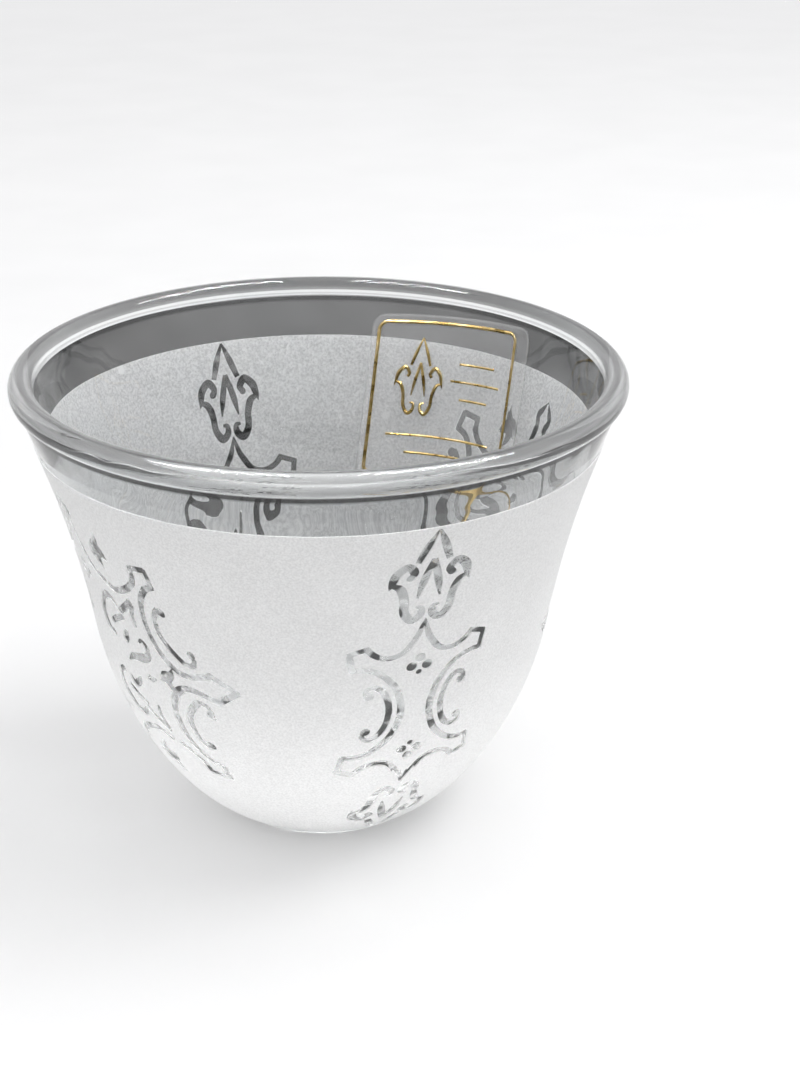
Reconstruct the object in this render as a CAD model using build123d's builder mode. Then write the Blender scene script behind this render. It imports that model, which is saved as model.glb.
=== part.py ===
from build123d import *

import os
from math import cos, radians, sin

# Handleless coffee cup in pressed glass, in millimetres. +Z is up, the cup stands on Z = 0,
# and azimuths are counted from the front (-Y), positive towards +X.

# Glass bowl
height = 52.0
rim_radius = 33.0
base_radius = 10.9
recess_radius = 8.0
recess_depth = 0.6
floor_thickness = 7.0
bead_radius = 1.35
lip_wall = 2.2

# Section of the walls: arcs that run on into each other, up to the rim bead
foot_angle = 30.0
foot_arc_radius = 23.0
foot_turn = 24.0
belly_arc_radius = 41.0
belly_turn = 27.0
floor_arc_radius = 22.0
floor_turn = 70.0

# The round walls are turned in short straight bands, which keeps the facets few.
foot_bands = 2
belly_bands = 3
flare_bands = 2
floor_bands = 5
side_bands = 1
bead_sides = 8

# Frosted coat on the outside, from just above the base to a clear band under the rim
coat_thickness = 0.12
coat_gap = 0.02
coat_start_height = 0.2
clear_band = 7.0

# Clear label with a foil border, on the inner wall, stuck on a little askew
label_azimuth = 144.8
label_tilt = -4.0
label_width = 21.3
label_height = 19.4
label_corner = 1.6
label_drop = 12.8
film_thickness = 0.1
foil_thickness = 0.05
label_gap = 0.02
border_width = 18.6
border_height = 18.0
border_shift = 0.65
border_line = 0.38
border_corner = 1.2

bead_middle = Vector(rim_radius - bead_radius, height - bead_radius)
lip_outside = bead_middle + Vector(lip_wall / 2, 0)
lip_inside = bead_middle - Vector(lip_wall / 2, 0)

with BuildLine() as outer_arcs:
    foot_lean = (cos(radians(foot_angle)), sin(radians(foot_angle)))
    foot_arc = JernArc((base_radius, 0), foot_lean, foot_arc_radius, foot_turn)
    belly_arc = JernArc(foot_arc @ 1, foot_arc % 1, belly_arc_radius, belly_turn)
    flare_arc = TangentArc(belly_arc @ 1, lip_outside, tangent=belly_arc % 1)

with BuildLine() as inner_arcs:
    floor_arc = JernArc((0, floor_thickness), (1, 0), floor_arc_radius, floor_turn)
    side_arc = TangentArc(floor_arc @ 1, lip_inside, tangent=floor_arc % 1)

outer_bands = [(foot_arc, foot_bands), (belly_arc, belly_bands), (flare_arc, flare_bands)]
inner_bands = [(floor_arc, floor_bands), (side_arc, side_bands)]


def banded(arcs, outwards=0):
    """Points of a wall's bands, from its lower end to the rim, moved outwards square to the wall."""
    points = []
    for arc, bands in arcs:
        first = 1 if points else 0
        for band in range(first, bands + 1):
            rise = arc % (band / bands)
            points.append(arc @ (band / bands) + Vector(rise.Y, -rise.X) * outwards)
    return points


def layer(arcs, gap, thickness):
    """Outline of a thin layer that lies that far outside a wall, or inside it where both are negative."""
    near_side = banded(arcs, gap)
    far_side = banded(arcs, gap + thickness)
    return Polyline(*near_side, *reversed(far_side), close=True)


# The bowl: one revolved section, with a shallow recess under the base and a bead on the rim.
with BuildPart() as glass_bowl:
    with BuildSketch(Plane.XZ):
        with BuildLine():
            Polyline(
                (0, floor_thickness),
                (0, recess_depth),
                (recess_radius, recess_depth),
                (recess_radius, 0),
                (base_radius, 0),
            )
            Polyline(banded(outer_bands))
            Line(lip_outside, lip_inside)
            Polyline(banded(inner_bands))
        make_face()
        with Locations(bead_middle):
            RegularPolygon(bead_radius, bead_sides, major_radius=False, rotation=180 / bead_sides)
    revolve(axis=Axis.Z)
glass_bowl.part.label = "glass_bowl"

# The frosted coat: a thin layer all round the outer wall, between two heights.
with BuildPart() as frost_coat:
    with BuildSketch(Plane.XZ):
        with BuildLine():
            layer(outer_bands, coat_gap, coat_thickness)
        make_face()
        with Locations((0, coat_start_height)):
            coat_height = height - clear_band - coat_start_height
            Rectangle(rim_radius, coat_height, align=Align.MIN, mode=Mode.INTERSECT)
    revolve(axis=Axis.Z)
frost_coat.part.label = "frost_coat"

# The label: a clear film on the inner wall and a foil border on the film, each cut to its
# outline from a layer that follows the wall.
label_turn = radians(label_azimuth)
label_upright = Plane(
    (0, 0, height - label_drop),
    x_dir=(cos(label_turn), sin(label_turn), 0),
    z_dir=(sin(label_turn), -cos(label_turn), 0),
)
label_plane = Plane(label_upright.location * Rotation(0, 0, label_tilt))

with BuildPart() as label_film:
    with BuildSketch(Plane.XZ):
        with BuildLine():
            layer(inner_bands, -label_gap, -film_thickness)
        make_face()
    revolve(axis=Axis.Z)
    with BuildSketch(label_plane):
        RectangleRounded(label_width, label_height, label_corner)
    extrude(amount=rim_radius, mode=Mode.INTERSECT)
label_film.part.label = "label_film"

with BuildPart() as label_foil:
    with BuildSketch(Plane.XZ):
        with BuildLine():
            layer(inner_bands, -label_gap - film_thickness, -foil_thickness)
        make_face()
    revolve(axis=Axis.Z)
    with BuildSketch(label_plane):
        with Locations((border_shift, 0)):
            RectangleRounded(border_width, border_height, border_corner)
        offset(amount=-border_line, mode=Mode.SUBTRACT)
    extrude(amount=rim_radius, mode=Mode.INTERSECT)
label_foil.part.label = "label_foil"

os.makedirs("parts", exist_ok=True)
for piece in (glass_bowl, frost_coat, label_film, label_foil):
    export_step(piece.part, f"parts/{piece.part.label}.step")
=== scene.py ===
from math import atan2, cos, hypot, pi, radians, sin

import bpy
import numpy as np
from mathutils import Euler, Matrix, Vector
from mathutils.geometry import delaunay_2d_cdt


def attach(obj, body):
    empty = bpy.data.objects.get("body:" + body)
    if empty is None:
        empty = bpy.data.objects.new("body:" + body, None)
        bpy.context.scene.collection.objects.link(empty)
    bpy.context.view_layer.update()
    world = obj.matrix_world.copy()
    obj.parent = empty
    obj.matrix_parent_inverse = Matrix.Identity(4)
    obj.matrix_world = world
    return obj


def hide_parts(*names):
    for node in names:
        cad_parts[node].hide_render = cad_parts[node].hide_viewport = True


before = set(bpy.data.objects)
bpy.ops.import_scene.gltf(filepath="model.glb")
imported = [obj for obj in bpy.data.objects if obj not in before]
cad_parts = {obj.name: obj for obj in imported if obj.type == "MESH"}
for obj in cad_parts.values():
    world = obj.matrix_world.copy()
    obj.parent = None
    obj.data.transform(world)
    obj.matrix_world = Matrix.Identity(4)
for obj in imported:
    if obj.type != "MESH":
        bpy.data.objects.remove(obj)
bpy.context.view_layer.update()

MM = 0.001

# Sizes in millimetres and degrees. Azimuths are counted from the front (-Y), positive towards +X.
HEIGHT = 52.0
RIM_RADIUS = 33.0
BASE_RADIUS = 10.9
RECESS_RADIUS = 8.0
RECESS_DEPTH = 0.6
RECESS_EDGE = 0.25
FLOOR_THICKNESS = 7.0
BEAD_RADIUS = 1.35
LIP_WALL = 2.2
NECK_HEIGHT = 49.3
FOOT_ANGLE = 30.0
FOOT_ARC_RADIUS = 23.0
FOOT_TURN = 24.0
BELLY_ARC_RADIUS = 41.0
BELLY_TURN = 27.0
FLOOR_ARC_RADIUS = 22.0
FLOOR_TURN = 70.0

COAT_GAP = 0.02
COAT_THICKNESS = 0.12
COAT_START_HEIGHT = 0.2
CLEAR_BAND = 7.0

LABEL_AZIMUTH = 144.8
LABEL_TILT = -4.0
LABEL_WIDTH = 21.3
LABEL_HEIGHT = 19.4
LABEL_CORNER = 1.6
LABEL_DROP = 12.8
LABEL_GAP = 0.02
FILM_THICKNESS = 0.1
FILM_EDGE = 0.3
FOIL_THICKNESS = 0.05
BORDER_WIDTH = 18.6
BORDER_HEIGHT = 18.0
BORDER_SHIFT = 0.65
BORDER_LINE = 0.38
BORDER_CORNER = 1.2

# The palmette and the rules (across, up, length) that stand in for the label's print
PRINT_SCALE = 0.76
PRINT_BOLD = 0.65
PRINT_PLACE = (3.6, -1.4)
RULES = ((-4.0, 4.4, 5.0), (-4.0, 2.4, 7.0), (-4.0, 0.4, 4.0), (0.0, -4.2, 14.0), (0.0, -6.2, 9.0))
RULE_LINE = 0.26

# How finely the meshes are divided
COLUMNS = 288
ARC_STEPS = 60
FOOT_ROWS = 3
COAT_ROWS = 48
BAND_ROWS = 8
BEAD_ROWS = 40
INNER_ROWS = 70
STROKE_STEPS = 7
DROP_SIDES = 14
CORNER_STEPS = 8
FILM_CORNER_ROWS = 7
FILM_ROWS = 30
FILM_COLUMNS = 38
BORDER_STEPS = 6
RULE_STEPS = 20

BEAD = (RIM_RADIUS - BEAD_RADIUS, HEIGHT - BEAD_RADIUS)
BEAD_SEARCH_STEPS = 40


# Section of the bowl: arcs that run on into each other, up to the rim bead

def arc_run(start, heading, radius, turn):
    """Points of an arc that turns left, and its end heading, in radians."""
    middle = (start[0] - radius * sin(heading), start[1] + radius * cos(heading))
    points = []
    for step in range(ARC_STEPS + 1):
        angle = heading + turn * step / ARC_STEPS
        points.append((middle[0] + radius * sin(angle), middle[1] - radius * cos(angle)))
    return points, heading + turn


def arc_to(start, heading, end):
    """Points of the arc that leaves start with this heading and reaches end."""
    across = end[0] - start[0], end[1] - start[1]
    half_turn = atan2(across[1], across[0]) - heading
    radius = hypot(*across) / (2 * sin(half_turn))
    return arc_run(start, heading, radius, 2 * half_turn)[0]


class Wall:
    """A wall's section, followed by the length along it from its lower end up to the rim bead."""

    def __init__(self, points):
        points = np.array(points)
        outside = np.hypot(points[:, 0] - BEAD[0], points[:, 1] - BEAD[1]) >= BEAD_RADIUS
        last = int(np.argmin(outside))
        inner, outer = points[last], points[last - 1]
        for _ in range(BEAD_SEARCH_STEPS):
            middle = (inner + outer) / 2
            if hypot(*(middle - BEAD)) < BEAD_RADIUS:
                inner = middle
            else:
                outer = middle
        self.points = np.vstack([points[:last], outer])
        steps = np.hypot(*np.diff(self.points, axis=0).T)
        self.lengths = np.concatenate([[0], np.cumsum(steps)])
        self.length = self.lengths[-1]
        rise = np.gradient(self.points, self.lengths, axis=0)
        rise /= np.hypot(*rise.T)[:, None]
        self.normals = np.stack([rise[:, 1], -rise[:, 0]], 1)

    def place(self, along):
        return np.stack([np.interp(along, self.lengths, self.points[:, k]) for k in (0, 1)], -1)

    def normal(self, along):
        return np.stack([np.interp(along, self.lengths, self.normals[:, k]) for k in (0, 1)], -1)

    def along(self, height):
        return float(np.interp(height, self.points[:, 1], self.lengths))


foot, lean = arc_run((BASE_RADIUS, 0.0), radians(FOOT_ANGLE), FOOT_ARC_RADIUS, radians(FOOT_TURN))
belly, lean = arc_run(foot[-1], lean, BELLY_ARC_RADIUS, radians(BELLY_TURN))
flare = arc_to(belly[-1], lean, (BEAD[0] + LIP_WALL / 2, BEAD[1]))
outer_wall = Wall(foot + belly[1:] + flare[1:])
bowl_floor, lean = arc_run((0.0, FLOOR_THICKNESS), 0.0, FLOOR_ARC_RADIUS, radians(FLOOR_TURN))
side = arc_to(bowl_floor[-1], lean, (BEAD[0] - LIP_WALL / 2, BEAD[1]))
inner_wall = Wall(bowl_floor + side[1:])
coat_from = outer_wall.along(COAT_START_HEIGHT)
coat_to = outer_wall.along(HEIGHT - CLEAR_BAND)


def turned(section, azimuth):
    """Points (radius, height) turned to their azimuths, in radians."""
    section = np.asarray(section)
    radius, height = section[..., 0], section[..., 1]
    x, y = radius * np.sin(azimuth), -radius * np.cos(azimuth)
    return np.stack(np.broadcast_arrays(x, y, height), -1)


# The ornament, unrolled. Each stroke is a row of (across, up, width) that a smooth line runs
# through, and each drop is (across, up, radius). Halves are mirrored.
PALMETTE = [
    [(0, 11.1, 0.2), (0.9, 8.9, 0.75), (1.6, 6.9, 0.6)],
    [(0, 7.3, 0.55), (0.73, 4.5, 0.75), (1.13, 2.3, 0.2)],
    [(2.0, 5.15, 0.7), (1.75, 5.75, 0.75), (2.5, 6.6, 0.85), (3.45, 5.75, 0.9),
     (3.75, 4.7, 0.7), (4.0, 3.75, 0.1)],
    [(3.75, 4.4, 0.5), (2.9, 3.85, 0.8), (2.4, 2.4, 0.8), (2.25, 0.8, 0.8), (1.45, -0.4, 0.85),
     (0.65, 0.15, 0.8), (0.6, 1.05, 0.6), (1.2, 1.25, 0.3)],
]
PALMETTE_DROPS = [(2.05, 5.1, 0.45)]

CARTOUCHE = [
    [(0, 11.5, 0.15), (0.35, 10.1, 0.6), (0.85, 8.9, 0.75), (2.0, 7.3, 0.75), (3.6, 6.9, 0.75),
     (5.0, 7.5, 0.75), (5.9, 8.5, 0.75)],
    [(5.6, 8.4, 0.7), (7.7, 7.7, 0.7)],
    [(7.5, 8.0, 0.7), (7.1, 5.5, 0.7)],
    [(7.3, 5.7, 0.7), (6.1, 5.7, 0.75), (4.3, 5.1, 0.8), (2.5, 3.2, 0.8), (1.7, 1.0, 0.85),
     (1.6, -0.5, 0.85)],
    [(2.85, -0.4, 0.75), (3.05, 1.3, 0.75), (3.7, 2.7, 0.75), (4.6, 3.35, 0.7), (5.4, 3.05, 0.6),
     (5.5, 2.3, 0.6)],
]
CARTOUCHE_DROPS = [(5.15, 2.25, 0.55), (0, 6.4, 0.6), (0.85, 5.4, 0.6), (0, 4.6, 0.35)]

MEDALLION = [
    [(0, 18.2, 0.15), (0.8, 17.0, 0.9), (1.25, 16.2, 0.95), (0.95, 14.4, 0.95), (2.6, 10.7, 0.95),
     (6.1, 9.0, 0.9), (7.5, 9.0, 0.9), (8.9, 9.6, 0.9)],
    [(9.1, 8.3, 0.8), (7.5, 6.9, 0.85), (6.2, 5.9, 0.8)],
    [(6.0, 6.4, 0.6), (5.2, 7.3, 0.9), (4.0, 7.2, 0.95), (2.9, 5.9, 0.95), (2.4, 4.4, 0.95),
     (2.7, 2.9, 0.9), (3.6, 2.2, 0.7)],
    [(3.9, 3.9, 0.7), (5.4, 4.8, 0.85), (6.9, 5.5, 0.7)],
    [(9.1, 7.9, 0.8), (8.6, 6.4, 0.85), (8.7, 4.8, 0.5)],
    [(4.4, 12.2, 0.2), (4.9, 13.0, 1.6), (5.7, 13.4, 2.4), (6.5, 13.1, 1.5), (7.3, 12.4, 0.2)],
    [(5.6, 13.6, 1.5), (6.3, 14.8, 0.8), (6.6, 16.0, 0.15)],
    [(5.5, 13.0, 1.4), (5.7, 11.8, 0.9), (6.2, 10.9, 0.15)],
]
MEDALLION_DROPS = [(0, 9.6, 0.6), (0.85, 8.6, 0.6), (0, 7.6, 0.35), (3.6, 2.3, 0.5)]

WING = [
    [(8.7, 9.5, 0.75), (10.0, 10.4, 0.75), (10.9, 11.6, 0.75), (11.1, 13.3, 0.75)],
    [(10.9, 13.0, 0.7), (13.4, 13.4, 0.7)],
    [(13.2, 13.6, 0.7), (13.5, 11.3, 0.7)],
    [(13.7, 11.5, 0.7), (12.1, 10.6, 0.75), (10.9, 8.6, 0.8), (10.5, 6.2, 0.8), (11.0, 3.9, 0.8),
     (12.3, 1.9, 0.8), (13.9, 0.9, 0.75), (15.6, 1.0, 0.75), (17.8, 1.7, 0.75)],
    [(17.4, 1.7, 0.75), (20.4, -0.1, 0.6)],
    [(13.2, 8.7, 0.7), (12.3, 7.3, 0.75), (12.4, 5.0, 0.75), (14.4, 2.6, 0.7), (15.7, 2.4, 0.65),
     (16.1, 3.4, 0.6)],
]
WING_DROPS = [(13.5, 8.3, 0.6), (15.8, 3.7, 0.55)]

# Small leaves between the two halves of the wide motif
LEAVES = [
    [(6.1, 1.9, 0.3), (6.2, 2.8, 1.1), (6.7, 3.8, 0.5)],
    [(5.4, -0.4, 0.2), (6.6, 0.5, 0.9), (8.2, 0.9, 1.2), (9.4, 1.5, 1.0), (9.6, 2.6, 0.8),
     (8.9, 3.3, 0.6), (8.2, 2.8, 0.3)],
    [(4.8, -2.2, 0.3), (5.6, -3.2, 0.9), (6.6, -2.6, 0.9), (7.2, -1.7, 0.2)],
    [(8.2, -1.6, 0.2), (9.0, -1.3, 1.0), (9.9, -1.1, 0.2)],
    [(10.5, -0.9, 0.2), (11.4, -0.3, 1.5), (12.3, 0.3, 1.0), (12.6, 1.1, 0.15)],
    [(11.4, -0.5, 1.1), (12.2, -1.6, 0.8), (12.6, -2.7, 0.15)],
]

# The narrow motif stands at two azimuths, each with its palmettes' own spread, and the wide one
# at two more. The middles are lengths along the outer wall.
NARROW_AXES = ((21.8, 1.08), (203.6, 0.97))
WIDE_AXES = (114.5, 294.5)
UPPER_PALMETTE = 39.2
LOWER_PALMETTE = 14.6
CARTOUCHE_MIDDLE = 27.4
WIDE_MIDDLE = 29.6
BOLD = 1.15
LEAST_WIDTH = 0.1
SEAM = -12.0
UNROLL_RADIUS = 26.0

# The cartouche's lower half is a little longer short of its tip, and the lower wings stand out.
CARTOUCHE_TIP = 9
CARTOUCHE_STRETCH = 1.06
WING_SHIFT_SPAN = (1, 6)
WING_SHIFT = (0, 1.0)


def smooth_line(points):
    """Catmull-Rom line through rows of numbers."""
    points = np.array(points, float)
    if len(points) == 2:
        return points
    padded = np.vstack([2 * points[0] - points[1], points, 2 * points[-1] - points[-2]])
    line = []
    for k in range(1, len(padded) - 2):
        a, b, c, d = padded[k - 1:k + 3]
        for t in np.arange(STROKE_STEPS) / STROKE_STEPS:
            line.append(0.5 * (2 * b + (c - a) * t + (2 * a - 5 * b + 4 * c - d) * t ** 2
                               + (3 * b - a - 3 * c + d) * t ** 3))
    line.append(points[-1])
    return np.array(line)


def ribbon(points, bold=1.0):
    """Outline of a stroke, in across and up."""
    line = smooth_line(points) * (1, 1, bold)
    rise = np.gradient(line[:, :2], axis=0)
    rise /= np.hypot(*rise.T)[:, None]
    aside = np.stack([-rise[:, 1], rise[:, 0]], 1) * np.maximum(line[:, 2:], LEAST_WIDTH) / 2
    return np.vstack([line[:, :2] - aside, (line[:, :2] + aside)[::-1]])


def drop(across, up, radius):
    angles = 2 * pi * np.arange(DROP_SIDES) / DROP_SIDES
    return np.stack([across + radius * np.cos(angles), up + radius * np.sin(angles)], 1)


def motif(strokes, drops, lower=None, bold=1.0):
    """Outlines of a motif. With lower, which turns an outline upside down, it has two halves."""
    outlines = [ribbon(s, bold) for s in strokes] + [drop(*d) for d in drops]
    if lower:
        outlines += [lower(o) for o in outlines]
    return outlines + [o * (-1, 1) for o in outlines]


def placed(outlines, axis, middle, upright=1):
    """Outlines on the unrolled wall: across is measured along the wall's own round there."""
    result = []
    for outline in outlines:
        along = middle + upright * outline[:, 1]
        azimuth = radians(axis - SEAM) + outline[:, 0] / outer_wall.place(along)[:, 0]
        result.append(np.stack([azimuth * UNROLL_RADIUS, along], 1))
    return result


def lower_cartouche(outline):
    stretch = np.where(np.abs(outline[:, 1]) < CARTOUCHE_TIP, CARTOUCHE_STRETCH, 1.0)
    return np.stack([outline[:, 0], -outline[:, 1] * stretch], 1)


def lower_medallion(outline):
    return outline * (1, -1)


def lower_wing(outline):
    shift = np.interp(outline[:, 1], WING_SHIFT_SPAN, WING_SHIFT)
    return np.stack([outline[:, 0] + shift, -outline[:, 1]], 1)


windows = []
for axis, spread in NARROW_AXES:
    palmette = [o * (spread, 1) for o in motif(PALMETTE, PALMETTE_DROPS, bold=BOLD)]
    windows += placed(palmette, axis, UPPER_PALMETTE)
    windows += placed(palmette, axis, LOWER_PALMETTE, -1)
    cartouche = motif(CARTOUCHE, CARTOUCHE_DROPS, lower_cartouche)
    windows += placed(cartouche, axis, CARTOUCHE_MIDDLE)
for axis in WIDE_AXES:
    windows += placed(motif(MEDALLION, MEDALLION_DROPS, lower_medallion), axis, WIDE_MIDDLE)
    windows += placed(motif(LEAVES, []), axis, WIDE_MIDDLE)
    windows += placed(motif(WING, WING_DROPS, lower_wing, BOLD), axis, WIDE_MIDDLE)


def winding(points, outline):
    """How often an outline runs round each point."""
    turns = np.zeros(len(points), int)
    ends = np.roll(outline, -1, axis=0)
    for (ax, ay), (bx, by) in zip(outline, ends):
        left = (bx - ax) * (points[:, 1] - ay) - (points[:, 0] - ax) * (by - ay)
        turns += (ay <= points[:, 1]) & (by > points[:, 1]) & (left > 0)
        turns -= (ay > points[:, 1]) & (by <= points[:, 1]) & (left < 0)
    return turns


MERGE_DISTANCE = 1e-5


def unrolled_wall():
    """The outer wall, unrolled and divided along the ornament.

    Gives its points and triangles, whether each triangle is in a window, and where along it is.
    """
    columns = np.linspace(0, 2 * pi * UNROLL_RADIUS, COLUMNS + 1)
    foot_rows = np.linspace(0, coat_from, FOOT_ROWS)[:-1]
    coat_rows = np.linspace(coat_from, coat_to, COAT_ROWS)
    band_rows = np.linspace(coat_to, outer_wall.length, BAND_ROWS)[1:]
    rows = np.concatenate([foot_rows, coat_rows, band_rows])
    grid = np.stack(np.meshgrid(columns, rows), -1).reshape(-1, 2)
    edges = []
    for row in (int(np.argmin(abs(rows - coat_from))), int(np.argmin(abs(rows - coat_to)))):
        first = row * len(columns)
        edges += [(first + k, first + k + 1) for k in range(len(columns) - 1)]
    points = [Vector(p) for p in grid]
    for outline in windows:
        first, count = len(points), len(outline)
        points += [Vector(p) for p in outline]
        edges += [(first + k, first + (k + 1) % count) for k in range(count)]
    points, _, triangles = delaunay_2d_cdt(points, edges, [], 0, MERGE_DISTANCE)[:3]
    points, triangles = np.array(points), np.array([t[:] for t in triangles])
    middles = points[triangles].mean(1)
    inside = np.zeros(len(triangles), bool)
    for outline in windows:
        low, high = outline.min(0), outline.max(0)
        near = np.flatnonzero(((middles >= low) & (middles <= high)).all(1))
        inside[near] |= winding(middles[near], outline) != 0
    return points, triangles, inside, middles[:, 1]


# Meshes. Points that agree to this many parts of a metre, or of a millimetre, are one point.
WELD_PER_METRE = 1e7
WELD_PER_MM = 1e4
TINY = 1e-9


class Shape:
    """Collects patches of faces with their own normals and welds them into one mesh."""

    def __init__(self):
        self.points, self.normals, self.faces, self.slots, self.count = [], [], [], [], 0

    def patch(self, points, normals, faces, slot=0):
        points = np.asarray(points, float).reshape(-1, 3)
        normals = np.asarray(normals, float).reshape(-1, 3)
        self.points.append(points)
        self.normals.append(normals)
        self.faces += [tuple(int(k) + self.count for k in face) for face in faces]
        self.slots += np.broadcast_to(slot, len(faces)).tolist()
        self.count += len(points)

    def grid(self, points, normals, wrap=False, slot=0):
        """Faces of a patch whose points are in rows and columns."""
        rows, columns = points.shape[:2]
        faces = []
        for i in range(rows - 1):
            low, high = i * columns, (i + 1) * columns
            for j in range(columns if wrap else columns - 1):
                k = (j + 1) % columns
                faces.append((low + j, low + k, high + k, high + j))
        self.patch(points, normals, faces, slot)

    def build(self, name, materials):
        points, normals = np.vstack(self.points) * MM, np.vstack(self.normals)
        used = np.unique([k for face in self.faces for k in face])
        places = np.round(points[used] * WELD_PER_METRE)
        first, found = np.unique(places, axis=0, return_index=True, return_inverse=True)[1:]
        same = np.zeros(len(points), int)
        same[used] = found.ravel()
        first = used[first]
        faces, corners, slots = [], [], []
        for face, slot in zip(self.faces, self.slots):
            kept = [k for n, k in enumerate(face) if same[k] != same[face[n - 1]]]
            if len(kept) > 2:
                faces.append([int(same[k]) for k in kept])
                corners += [normals[k] for k in kept]
                slots.append(slot)
        mesh = bpy.data.meshes.new(name)
        mesh.from_pydata(points[first].tolist(), [], faces)
        for material in materials:
            mesh.materials.append(material)
        mesh.polygons.foreach_set("use_smooth", [True] * len(faces))
        mesh.polygons.foreach_set("material_index", slots)
        mesh.normals_split_custom_set([tuple(c) for c in corners])
        mesh.update()
        piece = bpy.data.objects.new(name, mesh)
        bpy.context.scene.collection.objects.link(piece)
        return piece


def across_run(run, facing):
    """Unit vectors square to both."""
    out = np.cross(run, facing)
    return out / np.maximum(np.linalg.norm(out, axis=1), TINY)[:, None]


def section_normals(section):
    rise = np.gradient(section, axis=0)
    rise /= np.maximum(np.hypot(*rise.T), TINY)[:, None]
    return np.stack([rise[:, 1], -rise[:, 0]], 1)


ROUND = radians(SEAM) + 2 * pi * np.arange(COLUMNS) / COLUMNS


def turn_run(shape, section, slot=0):
    """Adds a run of the section, turned all round."""
    section = np.asarray(section, float)
    normals = section_normals(section)
    points = turned(section[:, None], ROUND[None])
    shape.grid(points, turned(normals[:, None], ROUND[None]), True, slot)


wall_points, wall_faces, in_window, face_along = unrolled_wall()
coated = ~in_window & (face_along > coat_from) & (face_along < coat_to)


def outer_sheet(stand_off):
    """Points of the outer wall, moved outwards, and their normals."""
    along = wall_points[:, 1]
    section, normal = outer_wall.place(along), outer_wall.normal(along)
    azimuth = radians(SEAM) + wall_points[:, 0] / UNROLL_RADIUS
    return turned(section + normal * stand_off, azimuth), turned(normal, azimuth)


# The bowl's material slots, and how far its clear band's shading leans at the band's edges
CLEAR, RIM, BAND, CUT, ETCHED = range(5)
BAND_BULGE = 0.08


def make_bowl(materials):
    shape = Shape()
    points, normals = outer_sheet(0)
    up_band = (wall_points[:, 1] - coat_to) / (outer_wall.length - coat_to)
    normals[:, 2] += np.where(up_band >= 0, BAND_BULGE * (2 * up_band - 1), 0)
    slots = np.where(coated, ETCHED, np.where(in_window, CUT, BAND))
    shape.patch(points, normals, wall_faces, slots)
    start = atan2(*(outer_wall.points[-1] - BEAD)[::-1])
    end = atan2(*(inner_wall.points[-1] - BEAD)[::-1]) % (2 * pi)
    angles = np.linspace(start, end, BEAD_ROWS)
    circle = np.stack([np.cos(angles), np.sin(angles)], 1)
    turn_run(shape, BEAD + BEAD_RADIUS * circle, RIM)
    lengths = np.linspace(inner_wall.length, 0, INNER_ROWS)
    turn_run(shape, inner_wall.place(lengths))
    recess_top = RECESS_RADIUS - RECESS_EDGE
    turn_run(shape, [(0, RECESS_DEPTH), (recess_top, RECESS_DEPTH)])
    turn_run(shape, [(recess_top, RECESS_DEPTH), (RECESS_RADIUS, 0)])
    turn_run(shape, [(RECESS_RADIUS, 0), (BASE_RADIUS, 0)])
    return shape.build("glass_bowl_smooth", materials)


def make_coat(outside, inside):
    """The coat, closed all round and along the edges of its windows."""
    shape = Shape()
    faces = wall_faces[coated]
    points, normals = outer_sheet(COAT_GAP + COAT_THICKNESS)
    inner_points = outer_sheet(COAT_GAP)[0]
    shape.patch(points, normals, faces)
    shape.patch(inner_points, -normals, faces[:, ::-1], 1)
    key = np.round(points * WELD_PER_MM).astype(int)
    same = np.unique(key, axis=0, return_inverse=True)[1].ravel()
    sides = np.concatenate([faces[:, (0, 1)], faces[:, (1, 2)], faces[:, (2, 0)]])
    owner = {}
    for a, b in sides:
        owner.setdefault(frozenset((same[a], same[b])), []).append((a, b))
    border = np.array([found[0] for found in owner.values() if len(found) == 1])
    a, b = border.T
    out = across_run(points[b] - points[a], normals[a])
    corners = np.stack([inner_points[a], inner_points[b], points[b], points[a]], 1)
    edge_faces = np.arange(4 * len(border)).reshape(-1, 4)
    shape.patch(corners, np.repeat(out, 4, 0), edge_faces)
    return shape.build("frost_coat_cut", [outside, inside])


def label_spot(x, y, inwards):
    """Point of the label, from its middle, that far inside the inner wall, and the way it faces."""
    tilt = radians(LABEL_TILT)
    across = x * cos(tilt) - y * sin(tilt)
    height = HEIGHT - LABEL_DROP + x * sin(tilt) + y * cos(tilt)
    along = np.interp(height, inner_wall.points[:, 1], inner_wall.lengths)
    normal = inner_wall.normal(along)
    section = inner_wall.place(along) - normal * inwards
    azimuth = radians(LABEL_AZIMUTH) + np.arcsin(across / section[..., 0])
    return turned(section, azimuth), -turned(normal, azimuth)


def thin_patch(shape, x, y, near, far, slot=0):
    """A closed thin layer over rows and columns of label places."""
    front, facing = label_spot(x, y, far)
    back = label_spot(x, y, near)[0]
    shape.grid(front[:, ::-1], facing[:, ::-1], slot=slot)
    shape.grid(back, -facing, slot=slot)
    rows, columns = x.shape
    rim = [(i, 0) for i in range(rows)] + [(rows - 1, j) for j in range(1, columns)]
    rim += [(i, columns - 1) for i in range(rows - 2, -1, -1)]
    rim += [(0, j) for j in range(columns - 2, 0, -1)]
    i, j = np.array(rim + rim[:1]).T
    out = across_run(np.gradient(front[i, j], axis=0), facing[i, j])
    shape.grid(np.stack([front[i, j], back[i, j]]), np.stack([out, out]))


def rounded(width, height, corner):
    """Outline of a rectangle with round corners, from its middle."""
    points = []
    for number, (x, y) in enumerate(((1, 1), (-1, 1), (-1, -1), (1, -1))):
        for step in range(CORNER_STEPS + 1):
            angle = pi / 2 * (number + step / CORNER_STEPS)
            points.append((x * (width / 2 - corner) + corner * cos(angle),
                           y * (height / 2 - corner) + corner * sin(angle)))
    return np.array(points)


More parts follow.
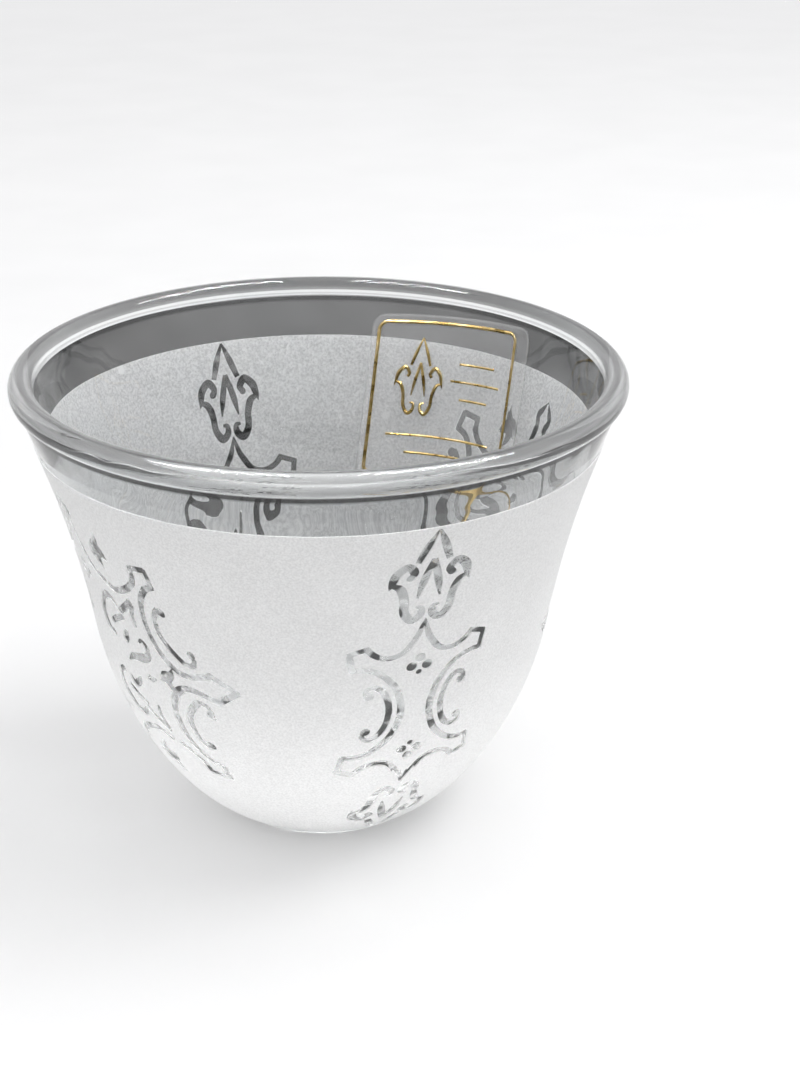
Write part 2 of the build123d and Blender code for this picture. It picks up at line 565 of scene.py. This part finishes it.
def make_film(film, film_edge_painted_highlight):
    """The film, with a narrow, more opaque strip all round that is a painted highlight along its
    edge.
    """
    shape = Shape()
    rise = LABEL_HEIGHT / 2
    ends = LABEL_CORNER * (1 - np.cos(np.linspace(0, pi / 2, FILM_CORNER_ROWS)))
    ends = np.sort(np.append(ends, FILM_EDGE))
    straight = np.linspace(-rise, rise, FILM_ROWS)[3:-3]
    y = np.concatenate([ends - rise, straight, rise - ends[::-1]])
    inset = np.maximum(np.abs(y) - (rise - LABEL_CORNER), 0)
    curve = np.sqrt(np.maximum(LABEL_CORNER ** 2 - inset ** 2, 0))
    half = (LABEL_WIDTH / 2 - LABEL_CORNER + curve)[:, None]
    inner = np.linspace(-1, 1, FILM_COLUMNS)[None] * (half - FILM_EDGE)
    x = np.concatenate([-half, inner, half], 1)
    # Slot 1 is the strip all round, with the painted highlight
    slots = np.ones((x.shape[0] - 1, x.shape[1] - 1), int)
    first = int(np.argmin(abs(ends - FILM_EDGE)))
    slots[first:-first, 1:-1] = 0
    y = np.repeat(y[:, None], x.shape[1], 1)
    thin_patch(shape, x, y, LABEL_GAP, LABEL_GAP + FILM_THICKNESS, slots.ravel())
    return shape.build("label_film_clear", [film, film_edge_painted_highlight])


def make_foil(material):
    """The foil border and, inside it, a plain palmette and rules."""
    shape = Shape()
    outside = rounded(BORDER_WIDTH, BORDER_HEIGHT, BORDER_CORNER)
    inside = rounded(BORDER_WIDTH - 2 * BORDER_LINE, BORDER_HEIGHT - 2 * BORDER_LINE,
                     BORDER_CORNER - BORDER_LINE)
    border = []
    for ring in (outside, inside):
        closed = np.vstack([ring, ring[:1]])
        numbers = np.arange(len(closed))
        places = np.linspace(0, len(ring), BORDER_STEPS * len(ring) + 1)
        border.append(np.stack([np.interp(places, numbers, closed[:, k]) for k in (0, 1)], 1))
    strips = [np.array(border)]
    for stroke in PALMETTE:
        for hand in (1, -1):
            outline = ribbon(stroke, PRINT_BOLD) * (PRINT_SCALE * hand, PRINT_SCALE) + PRINT_PLACE
            half = len(outline) // 2
            strip = np.stack([outline[:half], outline[half:][::-1]])
            strips.append(strip if hand > 0 else strip[::-1])
    for x, y, length in RULES:
        run = np.linspace(-length / 2, length / 2, RULE_STEPS) + x
        heights = (y - RULE_LINE / 2, y + RULE_LINE / 2)
        strips.append(np.stack([np.stack([run, np.full(RULE_STEPS, h)], 1) for h in heights]))
    near = LABEL_GAP + FILM_THICKNESS
    for strip in strips:
        x, y = strip[..., 0] + BORDER_SHIFT, strip[..., 1]
        thin_patch(shape, x, y, near, near + FOIL_THICKNESS)
    return shape.build("label_foil_border", [material])


class Nodes:
    """Short way to the nodes of a material or a world."""

    def __init__(self, owner, output):
        owner.use_nodes = True
        self.owner, self.tree = owner, owner.node_tree
        self.tree.nodes.clear()
        self.output = self.add(output)

    def add(self, kind, **values):
        node = self.tree.nodes.new(kind)
        for name, value in values.items():
            if name in node.inputs:
                node.inputs[name].default_value = value
            else:
                setattr(node, name, value)
        return node

    def link(self, out, into):
        self.tree.links.new(out, into)

    def surface(self, shader):
        self.link(shader, self.output.inputs["Surface"])
        return self.owner

    def place(self):
        return self.add("ShaderNodeTexCoord").outputs["Object"]

    def noise(self, scale, detail=2.0, rough=0.5):
        node = self.add("ShaderNodeTexNoise", Scale=scale, Detail=detail, Roughness=rough)
        self.link(self.place(), node.inputs["Vector"])
        return node.outputs["Fac"]

    def math(self, operation, first, *others):
        """A sum on an output, where the other values are outputs or numbers."""
        node = self.add("ShaderNodeMath", operation=operation)
        self.link(first, node.inputs[0])
        for number, value in enumerate(others, 1):
            if isinstance(value, float):
                node.inputs[number].default_value = value
            else:
                self.link(value, node.inputs[number])
        return node.outputs["Value"]

    def axis(self, name):
        split = self.add("ShaderNodeSeparateXYZ")
        self.link(self.place(), split.inputs["Vector"])
        return split.outputs[name]

    def distance(self, scale):
        """Distance from the object's own middle, with each axis scaled."""
        scaled = self.add("ShaderNodeVectorMath", operation="MULTIPLY")
        scaled.inputs[1].default_value = scale
        self.link(self.place(), scaled.inputs[0])
        length = self.add("ShaderNodeVectorMath", operation="LENGTH")
        self.link(scaled.outputs["Vector"], length.inputs[0])
        return length.outputs["Value"]

    def ramp(self, source, stops):
        node = self.add("ShaderNodeValToRGB")
        elements = node.color_ramp.elements
        while len(elements) < len(stops):
            elements.new(0.5)
        for element, (place, value) in zip(elements, stops):
            element.position = place
            element.color = (*value, 1) if isinstance(value, tuple) else (value, value, value, 1)
        self.link(source, node.inputs["Fac"])
        return node.outputs["Color"]

    def mix(self, amount, first, second):
        """Two shaders, mixed by an output."""
        node = self.add("ShaderNodeMixShader")
        self.link(amount, node.inputs["Fac"])
        self.link(first, node.inputs[1])
        self.link(second, node.inputs[2])
        return node.outputs["Shader"]

    def bump(self, height, strength, depth, shader):
        node = self.add("ShaderNodeBump", Strength=strength, Distance=depth)
        self.link(height, node.inputs["Height"])
        self.link(node.outputs["Normal"], shader.inputs["Normal"])

    def painted_shade_by_height(self, color, height, span, stops):
        """Painted shade: a colour that is dimmed by a ramp over the distance from a height, both in
        mm.
        """
        rise = self.math("MULTIPLY_ADD", self.axis("Z"), 1 / MM / span, -height / span)
        mix = self.add("ShaderNodeMix", data_type="RGBA", blend_type="MULTIPLY")
        mix.inputs["Factor"].default_value = 1.0
        self.link(color, mix.inputs["A"])
        self.link(self.ramp(self.math("ABSOLUTE", rise), stops), mix.inputs["B"])
        return mix.outputs["Result"]

    def with_painted_glints(self, color):
        """A colour with painted glints: small white dots here and there that stand for sparkles of
        light.
        """
        cells = self.add("ShaderNodeTexVoronoi", Scale=420.0)
        self.link(self.place(), cells.inputs["Vector"])
        painted_glint_dot = self.ramp(cells.outputs["Distance"], [(0.18, 1.0), (0.26, 0.0)])
        patch = self.ramp(self.noise(70.0, 1.0), [(0.56, 0.0), (0.62, 1.0)])
        mix = self.add("ShaderNodeMix", data_type="RGBA")
        self.link(self.math("MULTIPLY", painted_glint_dot, patch), mix.inputs["Factor"])
        self.link(color, mix.inputs["A"])
        mix.inputs["B"].default_value = (1, 1, 1, 1)
        return mix.outputs["Result"]


def material_nodes(name):
    return Nodes(bpy.data.materials.new(name), "ShaderNodeOutputMaterial")


def glass_material(name, passing=1.0, rough=0.0, wave=260.0, depth=0.00005, grain=None,
                   shade=None, painted_rim_lines=False):
    """Glass with a wavy surface. Its shadow is a clear one.

    A grain makes it mottled, with painted glints, and a shade gives it dark stretches of painted
    shade that stand for dark things seen through it, darker towards the foot; both go by the scale
    of a noise.
    Painted rim lines are fine dark lines of painted shade where the bead meets the band and along
    the rim's top.
    """
    n = material_nodes(name)
    glass = n.add("ShaderNodeBsdfPrincipled", IOR=1.5, Roughness=rough)
    glass.inputs["Transmission Weight"].default_value = passing
    if grain:
        tint = n.ramp(n.noise(grain, 3.0, 0.65), [(0.38, 0.56), (0.62, 0.96)])
        # Painted glints: white dots that stand for sparkles of light on the etched glass
        tint = n.with_painted_glints(tint)
    elif shade:
        # Painted shade: dark patches that stand for dark things seen through the cut glass, and
        # windows darkened towards the foot
        tint = n.ramp(n.noise(shade, 1.0), [(0.39, 0.02), (0.45, 1.0)])
        tint = n.painted_shade_by_height(tint, 0.0, 20.0, [(0.3, 0.12), (0.55, 1.0)])
    else:
        tint = n.ramp(n.noise(90.0), [(0.3, (0.93, 0.945, 0.95)), (0.7, (0.97, 0.975, 0.975))])
    if painted_rim_lines:
        # Painted shade: a dark line where the bead meets the band and a darker line along the rim's
        # top
        tint = n.painted_shade_by_height(tint, NECK_HEIGHT, 1.0, [(0.25, 0.02), (0.55, 1.0)])
        tint = n.painted_shade_by_height(tint, HEIGHT, 1.0, [(0.03, 0.25), (0.1, 1.0)])
    n.link(tint, glass.inputs["Base Color"])
    n.bump(n.noise(wave, 0.0), 1.0, depth, glass)
    clear = n.add("ShaderNodeBsdfTransparent", Color=(0.9, 0.91, 0.91, 1))
    shadow = n.add("ShaderNodeLightPath").outputs["Is Shadow Ray"]
    return n.surface(n.mix(shadow, glass.outputs["BSDF"], clear.outputs["BSDF"]))


def frost_material(name, low, high, grain, passing):
    """Frost between two greys, of which a share passes light on."""
    n = material_nodes(name)
    frost = n.add("ShaderNodeBsdfPrincipled", IOR=1.45)
    frost.inputs["Specular IOR Level"].default_value = 0.2
    fine = n.noise(grain, 3.0, 0.6)
    cloud = n.math("MULTIPLY", n.noise(140.0, 2.0), 0.1)
    tone = n.math("MULTIPLY_ADD", fine, 0.9, cloud)
    color = n.ramp(tone, [(0.36, low), (0.64, high)])
    n.link(color, frost.inputs["Base Color"])
    n.link(n.ramp(fine, [(0.3, 0.5), (0.7, 0.75)]), frost.inputs["Roughness"])
    n.bump(fine, 0.35, 0.00003, frost)
    glow = n.add("ShaderNodeBsdfTranslucent")
    n.link(color, glow.inputs["Color"])
    mix = n.add("ShaderNodeMixShader", Fac=passing)
    n.link(frost.outputs["BSDF"], mix.inputs[1])
    n.link(glow.outputs["BSDF"], mix.inputs[2])
    return n.surface(mix.outputs["Shader"])


def film_material(name, cover):
    n = material_nodes(name)
    gloss = n.add("ShaderNodeBsdfPrincipled", IOR=1.5, Alpha=cover)
    n.link(n.ramp(n.noise(300.0), [(0.3, 0.75), (0.7, 0.85)]), gloss.inputs["Base Color"])
    n.link(n.ramp(n.noise(500.0), [(0.3, 0.08), (0.7, 0.2)]), gloss.inputs["Roughness"])
    return n.surface(gloss.outputs["BSDF"])


def gold_material():
    n = material_nodes("gold_foil")
    gold = n.add("ShaderNodeBsdfPrincipled", Metallic=1.0)
    wear = n.noise(600.0, 3.0)
    tones = [(0.3, (0.5, 0.34, 0.1)), (0.55, (0.78, 0.58, 0.24)), (0.8, (0.95, 0.8, 0.5))]
    n.link(n.ramp(wear, tones), gold.inputs["Base Color"])
    n.link(n.ramp(wear, [(0.3, 0.22), (0.7, 0.42)]), gold.inputs["Roughness"])
    return n.surface(gold.outputs["BSDF"])


# The pieces. The bowl's materials are in the order of its slots.
bowl = make_bowl([
    glass_material("clear_glass"),
    # The rim and band glass carry painted shade lines where the bead meets the band and along the
    # rim's top
    glass_material("rim_glass", passing=0.9, depth=0.00001, painted_rim_lines=True),
    glass_material("band_glass", wave=170.0, depth=0.0002, painted_rim_lines=True),
    # The cut glass carries painted shade: dark patches, darker towards the foot
    glass_material("cut_glass", passing=0.94, wave=650.0, depth=0.0005, shade=420.0),
    # The etched glass carries painted glints
    glass_material("etched_glass", rough=0.6, grain=3400.0),
])
coat = make_coat(frost_material("frosted_glass", 0.79, 0.94, 4600.0, 0.3),
                 frost_material("frost_seen_inside", 0.72, 0.97, 2000.0, 0.32))
film = make_film(film_material("clear_film", 0.1), film_material("film_edge_painted_highlight", 0.2))
foil = make_foil(gold_material())
for piece, node, slot in ((bowl, "glass_bowl", "clear_glass"),
                          (coat, "frost_coat", "frosted_glass"),
                          (film, "label_film", "clear_film"),
                          (foil, "label_foil", "gold_foil")):
    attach(piece, "root")
    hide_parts(node)


# The stage, in metres. The floor's looks change with the scaled distance from its middle.
FLOOR_HALF = 3
FLOOR_DROP = 0.00005
# Painted light on the floor: a dark ring seen only through glass, and a glow that lights the cup as
# painted bounce light
PAINTED_DARK_RING_SCALE = (3.6, 2.5, 0.0)
PAINTED_DARK_RING = [(0.1, 0.8), (0.15, 0.02), (0.4, 0.03), (0.5, 0.14), (0.66, 0.2), (0.85, 0.95)]
PAINTED_BOUNCE_GLOW_SCALE = (2.5, 2.5, 0.0)
PAINTED_BOUNCE_GLOW = [(0.025, 0.25), (0.095, 1.0), (0.135, 1.0), (0.25, 0.42), (0.45, 0.12)]
SWEEP_SCALE = (0.8, 0.8, 0.0)
SWEEP = [(0.3, 0.0), (1.0, 1.0)]


def floor_material():
    """A pale floor that runs on into the backdrop.

    Through glass it shows a dark oval ring of painted dark surroundings for the glass to refract,
    and to light that has been scattered it glows as painted bounce light.
    """
    n = material_nodes("floor")
    pale = n.add("ShaderNodeBsdfPrincipled", Roughness=0.9)
    pale.inputs["Specular IOR Level"].default_value = 0.1
    n.link(n.ramp(n.noise(40.0), [(0.3, 0.85), (0.7, 0.87)]), pale.inputs["Base Color"])
    backdrop = n.add("ShaderNodeEmission", Color=(0.94, 0.94, 0.95, 1)).outputs["Emission"]
    ring = n.add("ShaderNodeEmission")
    n.link(n.ramp(n.distance(PAINTED_DARK_RING_SCALE), PAINTED_DARK_RING), ring.inputs["Color"])
    glow = n.add("ShaderNodeEmission", Strength=2.02)
    n.link(n.ramp(n.distance(PAINTED_BOUNCE_GLOW_SCALE), PAINTED_BOUNCE_GLOW), glow.inputs["Color"])
    path = n.add("ShaderNodeLightPath").outputs
    sweep = n.mix(n.ramp(n.distance(SWEEP_SCALE), SWEEP), pale.outputs["BSDF"], backdrop)
    seen = n.mix(path["Is Transmission Ray"], sweep, ring.outputs["Emission"])
    scattered = n.math("GREATER_THAN", path["Diffuse Depth"], 0.5)
    return n.surface(n.mix(scattered, seen, glow.outputs["Emission"]))


def stage_object(name, points, faces, material):
    mesh = bpy.data.meshes.new(name)
    mesh.from_pydata(points, [], faces)
    mesh.materials.append(material)
    thing = bpy.data.objects.new(name, mesh)
    bpy.context.scene.collection.objects.link(thing)
    return thing


floor_ends = (-FLOOR_HALF, FLOOR_HALF)
floor_corners = [(x, y, 0) for y in floor_ends for x in floor_ends]
floor = stage_object("floor", floor_corners, [(0, 1, 3, 2)], floor_material())
floor.location.z = -FLOOR_DROP

# The backdrop, whose greys differ for light that is mirrored, passes through glass or is seen
world = bpy.data.worlds.new("studio")
studio = Nodes(world, "ShaderNodeOutputWorld")
direction = studio.add("ShaderNodeSeparateXYZ")
studio.link(studio.add("ShaderNodeTexCoord").outputs["Generated"], direction.inputs["Vector"])
ray = studio.add("ShaderNodeLightPath").outputs
BLUER = 1.01


def sky(stops, strength=1.0):
    """A background whose grey changes with the height above the horizon."""
    greys = [(height, (grey, grey, grey * BLUER)) for height, grey in stops]
    background = studio.add("ShaderNodeBackground", Strength=strength)
    studio.link(studio.ramp(direction.outputs["Z"], greys), background.inputs["Color"])
    return background.outputs["Background"]


lighting_sky = sky([(0.0, 0.44), (0.6, 0.85)])
passed_sky = sky([(0.0, 1.0), (0.25, 0.65), (0.6, 0.78)])
mirrored_sky = sky([(0.0, 0.42), (0.12, 0.6), (0.3, 1.0), (0.6, 0.6)], 1.4)
seen_sky = sky([(0.0, 0.94), (1.0, 0.95)])
backdrop = studio.mix(ray["Is Transmission Ray"], lighting_sky, passed_sky)
backdrop = studio.mix(ray["Is Glossy Ray"], backdrop, mirrored_sky)
studio.surface(studio.mix(ray["Is Camera Ray"], backdrop, seen_sky))
bpy.context.scene.world = world


def softbox(name, place, aim, size, power):
    """A lamp that lights the cup and is not seen in it."""
    light = bpy.data.lights.new(name, "AREA")
    light.shape = "RECTANGLE"
    light.size, light.size_y = size
    light.energy = power
    box = bpy.data.objects.new(name, light)
    box.location = place
    box.rotation_euler = (Vector(aim) - Vector(place)).to_track_quat("-Z", "Y").to_euler()
    box.visible_transmission = box.visible_glossy = False
    bpy.context.scene.collection.objects.link(box)


# Two rows of small lamps overhead, only seen mirrored in the glass
ROW_ENDS = (-0.35, -0.06, 0.04, 0.44)
ROW_HALF_DEPTH = 0.1
ROWS_PLACE = (0.0, 0.12, 0.66)
LAMPS_PER_METRE = 30.0


def lamp_row_material():
    n = material_nodes("strip")
    part = n.math("FRACT", n.math("MULTIPLY", n.axis("X"), LAMPS_PER_METRE))
    glow = n.add("ShaderNodeEmission", Strength=100.0)
    n.link(n.ramp(part, [(0.15, 1.0), (0.2, 0.0)]), glow.inputs["Color"])
    return n.surface(glow.outputs["Emission"])


row_corners = [(x, y, 0) for x in ROW_ENDS for y in (-ROW_HALF_DEPTH, ROW_HALF_DEPTH)]
rows = stage_object("lamp_rows", row_corners, [(0, 1, 3, 2), (4, 5, 7, 6)], lamp_row_material())
rows.location = ROWS_PLACE
rows.visible_camera = rows.visible_diffuse = rows.visible_transmission = False
rows.visible_shadow = False
softbox("top", (0.05, 0.0, 0.7), (0, 0, 0.04), (0.4, 0.3), 0.8)
softbox("side", (0.36, 0.03, 0.5), (0, 0, 0.04), (0.3, 0.3), 1.2)
softbox("front", (-0.25, -0.5, 0.3), (0, 0, 0.02), (0.8, 0.6), 0.25)

camera_data = bpy.data.cameras.new("camera")
camera_data.sensor_fit = "VERTICAL"
camera_data.sensor_height = 36.0
camera_data.lens = 64.80
camera_data.clip_start = 0.01
camera = bpy.data.objects.new("camera", camera_data)
camera.location = (0.0, -0.20006, 0.11999)
camera.rotation_euler = Euler((radians(65.8473), radians(-0.3450), radians(-2.3330)))
bpy.context.scene.collection.objects.link(camera)
bpy.context.scene.camera = camera
bpy.context.scene.view_settings.view_transform = "Standard"
